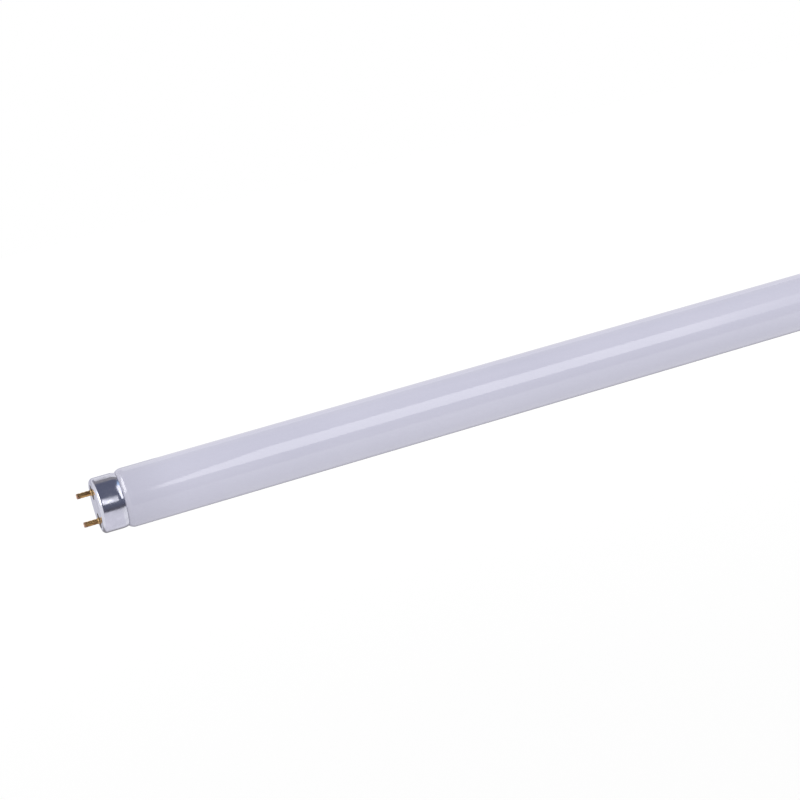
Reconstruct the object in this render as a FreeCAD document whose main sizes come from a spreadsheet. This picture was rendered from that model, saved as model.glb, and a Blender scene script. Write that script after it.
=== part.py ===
import FreeCAD, Part
import math
import os
import Sketcher

# Straight fluorescent tube of the 26 mm kind, with a bi-pin cap on each end.
# Frame: millimetres, +X along the tube, +Z up, origin at the middle of the tube.
# The pins of each cap stand one above the other, in the XZ plane.

SIZES = {
    # Glass bulb
    "face_length": 894.6,        # from the outer face of one cap to that of the other
    "tube_diameter": 26.0,
    "shoulder_drop": 1.9,        # how much smaller the neck's radius is than the tube's
    "shoulder_radius": 4.0,      # round of the glass where the tube starts to narrow
    "neck_fillet": 1.0,          # hollow round where the glass meets the neck
    "glass_wall": 0.8,           # thickness of the fused rim at the end of the neck
    "rim_setback": 3.2,          # from the cap's face in to the glass rim
    "flare_length": 10.0,        # trumpet of the stem, from the rim to the stem tube
    "stem_bore": 8.4,
    "stem_depth": 19.0,          # from the glass rim in to the pinched end of the stem
    "exhaust_diameter": 3.8,
    "exhaust_length": 14.0,      # stub of the pumping tube, melted shut
    # Cap shell
    "cap_depth": 11.1,
    "shell_wall": 0.3,
    "face_radius": 1.8,          # outer round between the cap's face and its side
    "cement_gap": 0.75,          # cement between the neck and the inside of the shell
    "cement_length": 4.5,
    "lip_round": 8.4,            # outer round of the lip, which is turned in towards the neck
    "lip_drop": 0.35,            # how far the lip comes in at its edge
    "shoulder_lap": 0.7,         # how far the foot of the shoulder reaches in under the lip
    "bush_hole": 6.8,            # holes in the cap's face, one round each pin
    # Insulating plate
    "plate_thickness": 1.4,
    "plate_clearance": 0.15,
    "bush_clearance": 0.05,
    "bush_recess": 0.1,          # bushes end this far below the cap's face
    # Contact pins
    "pin_pitch": 12.7,
    "pin_diameter": 2.35,
    "pin_length": 6.8,           # from the cap's face to the tip
    "tip_round": 0.3,
    "mouth_diameter": 1.5,
    "mouth_depth": 1.3,
    "collar_diameter": 3.0,
    "collar_height": 0.8,
    "collar_round": 0.4,
    "rivet_diameter": 3.8,       # foot of the pin, spread behind the plate
    "rivet_height": 0.5,
    "crimp_depth": 0.15,
    "crimp_radius": 0.6,
    "crimp_start": 1.43,         # first crimp, from the cap's face
    "crimp_spacing": 1.74,
    # Lead wires
    "wire_diameter": 0.5,
    "wire_clearance": 0.05,
    "wire_bend": 1.5,
    "wire_turn_depth": 7.5,      # where the wire starts outwards, from the cap's face
    "wire_lead_in": 1.0,         # straight run of wire behind the pin's foot
    "wire_setback": 0.3,         # wire ends this far inside the pin's mouth
}
CRIMPS = 3

doc = FreeCAD.newDocument("fluorescent_tube")
sheet = doc.addObject("Spreadsheet::Sheet", "Sizes")
for row, (alias, size) in enumerate(SIZES.items(), start=1):
    sheet.set(f"A{row}", alias)
    sheet.set(f"B{row}", str(size))
    sheet.setAlias(f"B{row}", alias)
doc.recompute()

# Places worked out from the sheet, as expressions that the sketches are bound to
HALF = "Sizes.face_length / 2"
TUBE_RADIUS = "Sizes.tube_diameter / 2"
NECK_RADIUS = f"({TUBE_RADIUS} - Sizes.shoulder_drop)"
SHELL_BORE = f"({NECK_RADIUS} + Sizes.cement_gap)"
SHELL_RADIUS = f"({SHELL_BORE} + Sizes.shell_wall)"
LIP_INNER = "(Sizes.lip_round - Sizes.shell_wall)"
LIP_COSINE = "(1 - Sizes.lip_drop / Sizes.lip_round)"
LIP_SINE = f"sqrt(1 - {LIP_COSINE} ^ 2)"
LIP_START = f"(Sizes.cap_depth - Sizes.lip_round * {LIP_SINE})"
STEM_END = "(Sizes.rim_setback + Sizes.stem_depth)"
BUSH_HEIGHT = "(Sizes.shell_wall - Sizes.bush_recess)"
PIN_FOOT = "(Sizes.shell_wall + Sizes.plate_thickness + Sizes.rivet_height)"
PIN_BORE = "(Sizes.wire_diameter / 2 + Sizes.wire_clearance)"


def number(expression):
    """What an expression on the sheet comes to, as a plain number."""
    return float(sheet.evalExpression(expression))


def new_body(label):
    """An empty body that carries the name of its piece."""
    body = doc.addObject("PartDesign::Body", label)
    body.Label = label
    return body


def new_sketch(body, name, role):
    """An empty sketch on one of the body's own origin planes."""
    sketch = body.newObject("Sketcher::SketchObject", name)
    plane = next(item for item in body.Origin.OriginFeatures if item.Role == role)
    sketch.AttachmentSupport = [(plane, "")]
    sketch.MapMode = "FlatFace"
    return sketch


def bind(sketch, kind, *geometry, size):
    """Adds a dimension to a sketch and binds it to an expression on the sheet."""
    index = sketch.addConstraint(Sketcher.Constraint(kind, *geometry, number(size)))
    sketch.setExpression(f"Constraints[{index}]", size)


def place_point(sketch, curve, end, across, up):
    """Holds one end of a curve at a place given by two expressions, from the sketch's origin."""
    if across == "0":
        sketch.addConstraint(Sketcher.Constraint("PointOnObject", curve, end, -2))
    else:
        bind(sketch, "DistanceX", -1, 1, curve, end, size=across)
    if up == "0":
        sketch.addConstraint(Sketcher.Constraint("PointOnObject", curve, end, -1))
    else:
        bind(sketch, "DistanceY", -1, 1, curve, end, size=up)


def arc_between(start, end, radius, turn):
    """The short arc of a radius between two points, turning left or right on the way."""
    run = end - start
    normal = FreeCAD.Vector(-run.y, run.x, 0).normalize()
    side = 1 if turn == "left" else -1
    rise = math.sqrt(max(radius ** 2 - (run.Length / 2) ** 2, 0))
    centre = (start + end) * 0.5 + normal * (side * rise)
    first, last = (start, end) if turn == "left" else (end, start)
    angles = [math.atan2(point.y - centre.y, point.x - centre.x) for point in (first, last)]
    circle = Part.Circle(centre, FreeCAD.Vector(0, 0, 1), radius)
    return Part.ArcOfCircle(circle, *angles)


def draw(sketch, corners, arcs, closed=True):
    """Draws an outline through corners, which are pairs of expressions, and binds each of them.

    arcs gives a radius and a turn for each side that is an arc, by the number of its first corner.
    """
    points = [FreeCAD.Vector(number(across), number(up), 0) for across, up in corners]
    sides = len(corners) if closed else len(corners) - 1
    ends = []
    for side in range(sides):
        start, end = points[side], points[(side + 1) % len(points)]
        if side in arcs:
            radius, turn = arcs[side]
            curve = sketch.addGeometry(arc_between(start, end, number(radius), turn))
            bind(sketch, "Radius", curve, size=radius)
            ends.append((curve, 1, 2) if turn == "left" else (curve, 2, 1))
        else:
            curve = sketch.addGeometry(Part.LineSegment(start, end))
            ends.append((curve, 1, 2))
    for (curve, _, end), (following, start, _) in zip(ends, ends[1:] + ends[:1] * closed):
        sketch.addConstraint(Sketcher.Constraint("Coincident", curve, end, following, start))
    for (curve, start, _), corner in zip(ends, corners):
        place_point(sketch, curve, start, *corner)
    if not closed:
        place_point(sketch, ends[-1][0], ends[-1][2], *corners[-1])


def draw_circle(sketch, across, up, radius):
    """Draws a circle and binds its centre and its radius."""
    centre = FreeCAD.Vector(number(across), number(up), 0)
    curve = sketch.addGeometry(Part.Circle(centre, FreeCAD.Vector(0, 0, 1), number(radius)))
    place_point(sketch, curve, 3, across, up)
    bind(sketch, "Radius", curve, size=radius)


def revolve(body, sketch, name):
    """Turns a closed outline round the sketch's own horizontal axis."""
    feature = body.newObject("PartDesign::Revolution", name)
    feature.Profile = sketch
    feature.ReferenceAxis = (sketch, ["H_Axis"])
    feature.Angle = 360
    return feature


def twice_round(body, feature, axis, name):
    """Repeats a feature on the other side of an axis."""
    pattern = body.newObject("PartDesign::PolarPattern", name)
    pattern.Originals = [feature]
    pattern.Axis = axis
    pattern.Angle = 360
    pattern.Occurrences = 2
    body.Tip = pattern


def cut_through(body, sketch, name):
    """Cuts a sketch's outlines right through the body, both ways."""
    doc.recompute()
    before = body.Shape.Volume
    pocket = body.newObject("PartDesign::Pocket", name)
    pocket.Profile = sketch
    pocket.Type = "ThroughAll"
    pocket.SideType = "Symmetric"
    doc.recompute()
    if not body.Shape.Volume < before:
        raise RuntimeError(f"{name} cuts nothing from {body.Label}")
    return pocket


def glass_tube():
    """The sealed bulb: a necked tube whose stem leads inwards from each end as a trumpet.

    Half of the tube is turned from one outline and then mirrored.
    """
    rounds = "(Sizes.shoulder_radius + Sizes.neck_fillet)"
    run = f"sqrt(Sizes.shoulder_drop * (2 * {rounds} - Sizes.shoulder_drop))"
    hollow_share = f"Sizes.neck_fillet / {rounds}"
    neck_start = f"{HALF} - Sizes.cap_depth + Sizes.shoulder_lap"
    rim = f"{HALF} - Sizes.rim_setback"
    half_wall = "Sizes.glass_wall / 2"
    stem_radius = "Sizes.stem_bore / 2"
    stem_floor = f"{HALF} - {STEM_END}"
    tip_radius = "Sizes.exhaust_diameter / 2"
    tip = f"{stem_floor} + Sizes.exhaust_length"
    flare_run = f"(Sizes.flare_length - {half_wall})"
    flare_rise = f"({NECK_RADIUS} - Sizes.glass_wall - {stem_radius})"
    flare_radius = f"({flare_run} ^ 2 + {flare_rise} ^ 2) / (2 * {flare_rise})"
    corners = [
        ("0", "0"),
        ("0", TUBE_RADIUS),
        (f"{neck_start} - {run}", TUBE_RADIUS),
        (f"{neck_start} - {run} * {hollow_share}", f"{NECK_RADIUS} + Sizes.shoulder_drop * {hollow_share}"),
        (neck_start, NECK_RADIUS),
        (f"{rim} - {half_wall}", NECK_RADIUS),
        (rim, f"{NECK_RADIUS} - {half_wall}"),
        (f"{rim} - {half_wall}", f"{NECK_RADIUS} - Sizes.glass_wall"),
        (f"{rim} - Sizes.flare_length", stem_radius),
        (stem_floor, stem_radius),
        (stem_floor, tip_radius),
        (f"{tip} - {tip_radius}", tip_radius),
        (tip, "0"),
    ]
    arcs = {
        2: ("Sizes.shoulder_radius", "right"),
        3: ("Sizes.neck_fillet", "left"),
        5: (half_wall, "right"),
        6: (half_wall, "right"),
        7: (flare_radius, "right"),
        11: (tip_radius, "right"),
    }
    body = new_body("glass_tube")
    sketch = new_sketch(body, "glass_outline", "XZ_Plane")
    draw(sketch, corners, arcs)
    half = revolve(body, sketch, "glass_half")
    doc.recompute()
    mirrored = body.newObject("PartDesign::Mirrored", "glass_whole")
    mirrored.Originals = [half]
    mirrored.MirrorPlane = (sketch, ["V_Axis"])
    body.Tip = mirrored
    return [body]


def seat(body, end, depth, up="0", turned=False):
    """Sets a piece at one end of the lamp, a depth behind the face of the cap.

    A piece is modelled with +X inwards, or outwards where it is turned, and is turned round for
    the end where that is the other way.
    """
    inwards = 1 if end == "left" else -1
    sign = "-" if end == "left" else ""
    about_face = inwards * (-1 if turned else 1) < 0
    body.Placement.Rotation = FreeCAD.Rotation(FreeCAD.Vector(0, 0, 1), 180 if about_face else 0)
    body.setExpression("Placement.Base.x", f"{sign}({HALF} - {depth})")
    if up != "0":
        body.setExpression("Placement.Base.z", up)


def end_cap(end):
    """The drawn shell: a cup with a rounded face edge, a turned-in lip and a hole round each pin."""
    face_flat = f"({SHELL_RADIUS} - Sizes.face_radius)"
    corners = [
        ("0", "0"),
        ("0", face_flat),
        ("Sizes.face_radius", SHELL_RADIUS),
        (LIP_START, SHELL_RADIUS),
        ("Sizes.cap_depth", f"{SHELL_RADIUS} - Sizes.lip_drop"),
        (f"{LIP_START} + {LIP_INNER} * {LIP_SINE}", f"{SHELL_BORE} - {LIP_INNER} * (1 - {LIP_COSINE})"),
        (LIP_START, SHELL_BORE),
        ("Sizes.face_radius", SHELL_BORE),
        ("Sizes.shell_wall", face_flat),
        ("Sizes.shell_wall", "0"),
    ]
    arcs = {
        1: ("Sizes.face_radius", "right"),
        3: ("Sizes.lip_round", "right"),
        5: (LIP_INNER, "left"),
        7: ("Sizes.face_radius - Sizes.shell_wall", "left"),
    }
    body = new_body(f"end_cap_{end}")
    sketch = new_sketch(body, f"cap_outline_{end}", "XZ_Plane")
    draw(sketch, corners, arcs)
    revolve(body, sketch, f"cap_cup_{end}")
    hole = new_sketch(body, f"bush_hole_{end}", "YZ_Plane")
    draw_circle(hole, "0", "Sizes.pin_pitch / 2", "Sizes.bush_hole / 2")
    cut = cut_through(body, hole, f"bush_cut_{end}")
    twice_round(body, cut, (hole, ["N_Axis"]), f"bush_cuts_{end}")
    seat(body, end, "0")
    return body


def cap_cement(end):
    """The ring of basing cement that fills the gap between the neck and the shell."""
    start = f"({LIP_START} - Sizes.cement_length)"
    corners = [
        ("0", NECK_RADIUS),
        ("0", SHELL_BORE),
        ("Sizes.cement_length", SHELL_BORE),
        ("Sizes.cement_length", NECK_RADIUS),
    ]
    body = new_body(f"cap_cement_{end}")
    sketch = new_sketch(body, f"cement_outline_{end}", "XZ_Plane")
    draw(sketch, corners, {})
    revolve(body, sketch, f"cement_ring_{end}")
    seat(body, end, start)
    return body


def pin_plate(end):
    """The insulating plate behind the cap's face, with a bush in each hole and a bore for each pin."""
    body = new_body(f"pin_plate_{end}")
    edge = f"{SHELL_RADIUS} - Sizes.face_radius - Sizes.plate_clearance"
    corners = [
        ("0", "0"),
        ("0", edge),
        ("Sizes.plate_thickness", edge),
        ("Sizes.plate_thickness", "0"),
    ]
    sketch = new_sketch(body, f"plate_outline_{end}", "XZ_Plane")
    draw(sketch, corners, {})
    revolve(body, sketch, f"plate_disc_{end}")
    doc.recompute()
    bush_sketch = new_sketch(body, f"bush_outline_{end}", "YZ_Plane")
    draw_circle(bush_sketch, "0", "Sizes.pin_pitch / 2", "Sizes.bush_hole / 2 - Sizes.bush_clearance")
    bush = body.newObject("PartDesign::Pad", f"bush_{end}")
    bush.Profile = bush_sketch
    bush.Reversed = True
    bush.setExpression("Length", BUSH_HEIGHT)
    doc.recompute()
    twice_round(body, bush, (bush_sketch, ["N_Axis"]), f"bushes_{end}")
    bore_sketch = new_sketch(body, f"pin_bore_outline_{end}", "YZ_Plane")
    draw_circle(bore_sketch, "0", "Sizes.pin_pitch / 2", "Sizes.pin_diameter / 2")
    bore = cut_through(body, bore_sketch, f"pin_bore_{end}")
    twice_round(body, bore, (bore_sketch, ["N_Axis"]), f"pin_bores_{end}")
    seat(body, end, "Sizes.shell_wall")
    return body


def contact_pin(end, level, up):
    """A hollow pin, from its spread foot behind the plate to its open mouth, crimped on two sides."""
    radius = "Sizes.pin_diameter / 2"
    foot = "Sizes.rivet_diameter / 2"
    collar = "Sizes.collar_diameter / 2"
    mouth = "Sizes.mouth_diameter / 2"
    shank_end = f"(Sizes.rivet_height + Sizes.plate_thickness + {BUSH_HEIGHT})"
    collar_end = f"({shank_end} + Sizes.collar_height)"
    face = PIN_FOOT
    tip = f"({face} + Sizes.pin_length)"
    corners = [
        ("0", PIN_BORE),
        ("0", foot),
        ("Sizes.rivet_height", foot),
        ("Sizes.rivet_height", radius),
        (shank_end, radius),
        (shank_end, collar),
        (f"{collar_end} - Sizes.collar_round", collar),
        (collar_end, f"{collar} - Sizes.collar_round"),
        (collar_end, radius),
        (f"{tip} - Sizes.tip_round", radius),
        (tip, f"{radius} - Sizes.tip_round"),
        (tip, mouth),
        (f"{tip} - Sizes.mouth_depth", PIN_BORE),
    ]
    arcs = {
        6: ("Sizes.collar_round", "right"),
        9: ("Sizes.tip_round", "right"),
    }
    name = f"{end}_{level}"
    body = new_body(f"contact_pin_{name}")
    sketch = new_sketch(body, f"pin_outline_{name}", "XZ_Plane")
    draw(sketch, corners, arcs)
    revolve(body, sketch, f"pin_turned_{name}")
    punch = new_sketch(body, f"crimp_outline_{name}", "XZ_Plane")
    for crimp in range(CRIMPS):
        along = f"{face} + Sizes.crimp_start + {crimp} * Sizes.crimp_spacing"
        draw_circle(punch, along, f"{radius} + Sizes.crimp_radius - Sizes.crimp_depth", "Sizes.crimp_radius")
    crimps = cut_through(body, punch, f"crimp_{name}")
    twice_round(body, crimps, (punch, ["H_Axis"]), f"crimps_{name}")
    seat(body, end, PIN_FOOT, up, turned=True)
    return body


def lead_wire(end, level):
    """The wire from the glass stem to the mouth of its pin: straight runs joined by two bends."""
    low = "(Sizes.stem_bore + Sizes.exhaust_diameter) / 4"
    high = "Sizes.pin_pitch / 2"
    turn_out = f"({STEM_END} - Sizes.wire_turn_depth)"
    turn_in = f"({STEM_END} - {PIN_FOOT} - Sizes.wire_lead_in)"
    finish = f"({STEM_END} + Sizes.pin_length - Sizes.wire_setback)"
    slope_run = f"({turn_in} - {turn_out})"
    slope_rise = f"({high} - {low})"
    slope = f"sqrt({slope_run} ^ 2 + {slope_rise} ^ 2)"
    tangent = f"(Sizes.wire_bend * ({slope} - {slope_run}) / {slope_rise})"
    along = f"{tangent} * {slope_run} / {slope}"
    rise = f"{tangent} * {slope_rise} / {slope}"
    corners = [
        ("0", low),
        (f"{turn_out} - {tangent}", low),
        (f"{turn_out} + {along}", f"{low} + {rise}"),
        (f"{turn_in} - {along}", f"{high} - {rise}"),
        (f"{turn_in} + {tangent}", high),
        (finish, high),
    ]
    arcs = {
        1: ("Sizes.wire_bend", "left"),
        3: ("Sizes.wire_bend", "right"),
    }
    name = f"{end}_{level}"
    body = new_body(f"lead_wire_{name}")
    route = new_sketch(body, f"wire_route_{name}", "XZ_Plane")
    draw(route, corners, arcs, closed=False)
    section = new_sketch(body, f"wire_section_{name}", "YZ_Plane")
    draw_circle(section, "0", low, "Sizes.wire_diameter / 2")
    doc.recompute()
    pipe = body.newObject("PartDesign::AdditivePipe", f"wire_pipe_{name}")
    pipe.Profile = section
    pipe.Spine = route
    seat(body, end, STEM_END, turned=True)
    if level == "lower":
        body.Placement.Rotation = body.Placement.Rotation * FreeCAD.Rotation(FreeCAD.Vector(1, 0, 0), 180)
    doc.recompute()
    expected = math.pi * number("Sizes.wire_diameter / 2") ** 2 * route.Shape.Length
    print(body.Label, "volume", round(body.Shape.Volume, 4), "section times length", round(expected, 4))
    return body


pieces = glass_tube()
for end in ("left", "right"):
    pieces += [end_cap(end), cap_cement(end), pin_plate(end)]
    for level, up in (("upper", "Sizes.pin_pitch / 2"), ("lower", "-Sizes.pin_pitch / 2")):
        pieces += [contact_pin(end, level, up), lead_wire(end, level)]
doc.recompute()

for item in doc.Objects:
    if "Invalid" in item.State or "Error" in item.State:
        raise RuntimeError(f"{item.Label} failed: {item.State}")
for piece in pieces:
    if piece.Shape.isNull() or not piece.Shape.isValid():
        raise RuntimeError(f"{piece.Label} has no valid shape")

os.makedirs("parts", exist_ok=True)
for piece in pieces:
    piece.Shape.exportStep(os.path.join("parts", f"{piece.Label}.step"))
    box = piece.Shape.BoundBox
    print(piece.Label, len(piece.Shape.Solids), round(piece.Shape.Volume, 3),
          [round(value, 3) for value in (box.XMin, box.XMax, box.YMin, box.YMax, box.ZMin, box.ZMax)])
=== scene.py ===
# %% [markdown]
# A fluorescent tube. This lamp is a straight glass tube, coated white on the inside. Each end carries a
# drawn aluminium cap with two hollow brass pins. Its solids were drawn in a CAD program. This script
# loads them as a fixed frame, makes the pieces that show every facet again as smooth meshes, and gives
# each piece its finish. The tube lies along X with its middle at the origin, and the pins of each cap
# stand one above the other.

# %% Load the frame
import math

import bmesh
import bpy
from mathutils import Matrix, Quaternion, Vector


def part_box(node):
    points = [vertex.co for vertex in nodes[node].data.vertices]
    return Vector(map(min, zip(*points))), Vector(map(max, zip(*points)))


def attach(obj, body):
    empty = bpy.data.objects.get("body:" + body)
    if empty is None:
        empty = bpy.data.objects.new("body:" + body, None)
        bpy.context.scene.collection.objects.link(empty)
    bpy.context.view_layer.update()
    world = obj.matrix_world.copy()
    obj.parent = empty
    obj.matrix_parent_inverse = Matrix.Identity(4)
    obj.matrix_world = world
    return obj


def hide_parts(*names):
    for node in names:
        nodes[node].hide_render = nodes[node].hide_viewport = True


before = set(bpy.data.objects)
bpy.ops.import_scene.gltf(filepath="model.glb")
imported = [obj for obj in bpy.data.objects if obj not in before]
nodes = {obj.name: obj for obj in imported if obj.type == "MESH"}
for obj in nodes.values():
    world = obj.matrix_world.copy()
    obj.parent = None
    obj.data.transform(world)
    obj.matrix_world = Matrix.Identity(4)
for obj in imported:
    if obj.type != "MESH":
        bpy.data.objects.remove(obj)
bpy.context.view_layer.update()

# %% [markdown]
# Sizes come first. What a box can tell is read from the CAD nodes, so that the meshes can't drift from
# the solids. Rounds and wall thicknesses don't show in a box. They are named where they are first
# needed, in metres. Both ends are alike, so every piece is drawn for the right end, where the pins point
# along +X, and then mirrored.

# %% Sizes that the frame gives
MM = 0.001
glass_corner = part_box("glass_tube")[1]
tube_radius = glass_corner.z
glass_rim = glass_corner.x
cap_low, cap_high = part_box("end_cap_right")
cap_lip = cap_low.x
cap_face = cap_high.x
cap_radius = cap_high.z
pin_low, pin_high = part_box("contact_pin_right_upper")
pin_foot = pin_low.x
pin_tip = pin_high.x
pin_level = (pin_low.z + pin_high.z) / 2
print(f"tube {2 * tube_radius / MM:.1f} mm thick, caps {(cap_face - cap_lip) / MM:.1f} mm deep")

# %% [markdown]
# Every piece of this lamp is turned, so each one starts as half of its section, a line of edges in the
# XZ plane. The line could be a list of sampled points. It is better to let the operators draw it:
# extruding a vertex makes a straight run, and spinning a vertex about a centre makes a true arc. An
# outline then needs only its corners. Seen from the front, with X to the right and Z up, an arc of
# positive degrees goes clockwise. Smooth shading would let the bend of an arc creep along the straight
# run next to it, so a run that meets an arc can have a holding edge close to each of its ends, which
# keeps the bend where it belongs.

# %% Helpers that draw an outline
ARC_STEP = 4.0
FEWEST_ARC_STEPS = 3
HOLD = 0.06 * MM


def run_to(bm, last, across, up, parts=1):
    """Draws a straight run from the last vertex, in a number of equal parts, and returns its end."""
    step = (Vector((across, 0, up)) - last.co) / parts
    for _ in range(parts):
        end = bmesh.ops.extrude_vert_indiv(bm, verts=[last])["verts"][0]
        end.co = last.co + step
        last = end
    return last


def held_run_to(bm, last, across, up, parts=1):
    """Draws a straight run with a holding edge close to each of its ends, and returns its end."""
    stop = Vector((across, 0, up))
    hold = (stop - last.co).normalized() * HOLD
    last = run_to(bm, last, *(last.co + hold).xz)
    last = run_to(bm, last, *(stop - hold).xz, parts=parts)
    return run_to(bm, last, across, up)


def bend_round(bm, last, across, up, degrees):
    """Draws an arc from the last vertex about a centre and returns its end."""
    swept = bmesh.ops.spin(
        bm, geom=[last], cent=(across, 0, up), axis=(0, 1, 0),
        angle=math.radians(degrees), steps=max(FEWEST_ARC_STEPS, round(abs(degrees) / ARC_STEP)),
    )
    return next(item for item in swept["geom_last"] if isinstance(item, bmesh.types.BMVert))


print("an arc has a vertex every", ARC_STEP, "degrees")

# %% Helpers that turn an outline and make it a piece
TURN_STEPS = 192
MERGE = 0.001 * MM
CREASE = math.radians(35)


def turn(bm, steps=TURN_STEPS):
    """Turns the outline once round the X axis and closes the seam."""
    bmesh.ops.spin(
        bm, geom=bm.verts[:] + bm.edges[:], cent=(0, 0, 0), axis=(1, 0, 0),
        angle=math.tau, steps=steps, use_merge=True,
    )


def close_mesh(bm):
    """Merges doubles, points the faces outwards and shades them smooth up to a crease."""
    bmesh.ops.remove_doubles(bm, verts=bm.verts, dist=MERGE)
    bmesh.ops.recalc_face_normals(bm, faces=bm.faces)
    for face in bm.faces:
        face.smooth = True
    for edge in bm.edges:
        edge.smooth = edge.calc_face_angle(math.pi) < CREASE


def add_piece(name, bm, node):
    """Makes the mesh an object that stands for a CAD node and rides on the lamp."""
    close_mesh(bm)
    open_edges = sum(not edge.is_manifold for edge in bm.edges)
    mesh = bpy.data.meshes.new(name)
    bm.to_mesh(mesh)
    bm.free()
    piece = bpy.data.objects.new(name, mesh)
    bpy.context.scene.collection.objects.link(piece)
    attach(piece, "root")
    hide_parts(node)
    print(f"{name}: {len(mesh.polygons)} faces, {open_edges} open edges")
    return piece


print("a turned piece has", TURN_STEPS, "sides")

# %% [markdown]
# The glass. On the real lamp a tube is heated near its end and rolled over a former, which leaves a
# rounded shoulder and a narrower neck. A stem is then fused to the rim of the neck: a trumpet that leads
# inwards to the pinched seal, with the stub of the pumping tube in its middle. The shoulder is the part
# that shows, and it is two arcs that touch, one round and one hollow. One outline turned and mirrored
# gives the whole sealed bulb.

# %% Sizes of the glass
SHOULDER_DROP = 1.9 * MM
SHOULDER_ROUND = 4.0 * MM
NECK_FILLET = 1.0 * MM
SHOULDER_LAP = 0.7 * MM
RIM_WALL = 0.8 * MM
FLARE_LENGTH = 10.0 * MM
STEM_RADIUS = 4.2 * MM
STEM_DEPTH = 19.0 * MM
STUB_RADIUS = 1.9 * MM
STUB_LENGTH = 14.0 * MM
TUBE_PARTS = 24
NECK_PARTS = 3

neck_radius = tube_radius - SHOULDER_DROP
neck_start = cap_lip + SHOULDER_LAP
shoulder_rounds = SHOULDER_ROUND + NECK_FILLET
shoulder_bend = math.degrees(math.acos(1 - SHOULDER_DROP / shoulder_rounds))
shoulder_start = neck_start - shoulder_rounds * math.sin(math.radians(shoulder_bend))
rim_centre = glass_rim - RIM_WALL / 2
flare_run = FLARE_LENGTH - RIM_WALL / 2
flare_rise = neck_radius - RIM_WALL - STEM_RADIUS
flare_round = (flare_run ** 2 + flare_rise ** 2) / (2 * flare_rise)
flare_bend = math.degrees(math.asin(flare_run / flare_round))
stem_floor = glass_rim - STEM_DEPTH
stub_centre = stem_floor + STUB_LENGTH - STUB_RADIUS
print(f"shoulder bends {shoulder_bend:.1f} degrees over {(neck_start - shoulder_start) / MM:.2f} mm")

# %% Turn and mirror the glass
glass_bm = bmesh.new()
pen = glass_bm.verts.new((0, 0, tube_radius))
pen = held_run_to(glass_bm, pen, shoulder_start, tube_radius, parts=TUBE_PARTS)
pen = bend_round(glass_bm, pen, shoulder_start, tube_radius - SHOULDER_ROUND, shoulder_bend)
pen = bend_round(glass_bm, pen, neck_start, neck_radius + NECK_FILLET, -shoulder_bend)
pen = held_run_to(glass_bm, pen, rim_centre, neck_radius, parts=NECK_PARTS)
pen = bend_round(glass_bm, pen, rim_centre, neck_radius - RIM_WALL / 2, 180)
pen = bend_round(glass_bm, pen, glass_rim - FLARE_LENGTH, STEM_RADIUS + flare_round, flare_bend)
pen = run_to(glass_bm, pen, stem_floor, STEM_RADIUS)
pen = run_to(glass_bm, pen, stem_floor, STUB_RADIUS)
pen = run_to(glass_bm, pen, stub_centre, STUB_RADIUS)
bend_round(glass_bm, pen, stub_centre, 0, 90)
turn(glass_bm)
bmesh.ops.mirror(
    glass_bm, geom=glass_bm.verts[:] + glass_bm.edges[:] + glass_bm.faces[:],
    matrix=Matrix.Identity(4), merge_dist=MERGE, axis="X",
)
glass = add_piece("coated_tube", glass_bm, "glass_tube")

# %% [markdown]
# The caps. A cap is drawn from thin aluminium sheet into a cup, so its face runs into its side in one
# round, and its rim is rolled in towards the neck once it sits on the glass. Two holes in the face let
# the insulated pins through. The side and both rounds are turned as one strip with a wall thickness. The
# flat face is then filled in between the strip and the two holes, inside and outside, and the holes are
# bridged through the wall.

# %% Sizes of the caps
SHELL_WALL = 0.3 * MM
FACE_ROUND = 1.8 * MM
FACE_BAND = 0.4 * MM
LIP_ROUND = 8.4 * MM
LIP_DROP = 0.35 * MM
OUTER_PARTS = 6
INNER_PARTS = 3

face_flat = cap_radius - FACE_ROUND
lip_inner = LIP_ROUND - SHELL_WALL
lip_centre = cap_radius - LIP_ROUND
lip_cosine = 1 - LIP_DROP / LIP_ROUND
lip_sine = math.sqrt(1 - lip_cosine ** 2)
lip_bend = math.degrees(math.acos(lip_cosine))
lip_start = cap_lip + LIP_ROUND * lip_sine
print(f"the lip turns in by {lip_bend:.1f} degrees")

# %% Helpers for the flat face and its holes
BUSH_HOLE_RADIUS = 3.4 * MM
HOLE_STEPS = 64


def on_plane(edge, across):
    """Whether an edge lies in the plane at a place along X."""
    return all(abs(vert.co.x - across) < MERGE for vert in edge.verts)


def punch_hole(bm, across, up):
    """Draws the edge of a round hole in the plane at a place along X."""
    place = Matrix.Translation((across, 0, up)) @ Matrix.Rotation(math.pi / 2, 4, "Y")
    drawn = bmesh.ops.create_circle(
        bm, cap_ends=False, segments=HOLE_STEPS, radius=BUSH_HOLE_RADIUS, matrix=place,
    )
    return list({edge for vert in drawn["verts"] for edge in vert.link_edges})


def fill_face(bm, across):
    """Fills the flat face at a place along X, round its two holes, and returns the edges of the holes."""
    rim = [edge for edge in bm.edges if edge.is_boundary and on_plane(edge, across)]
    holes = [punch_hole(bm, across, up) for up in (pin_level, -pin_level)]
    bmesh.ops.triangle_fill(bm, use_beauty=True, use_dissolve=False, edges=rim + holes[0] + holes[1])
    return holes


print(f"a cap has two holes of {2 * BUSH_HOLE_RADIUS / MM:.1f} mm")


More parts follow.
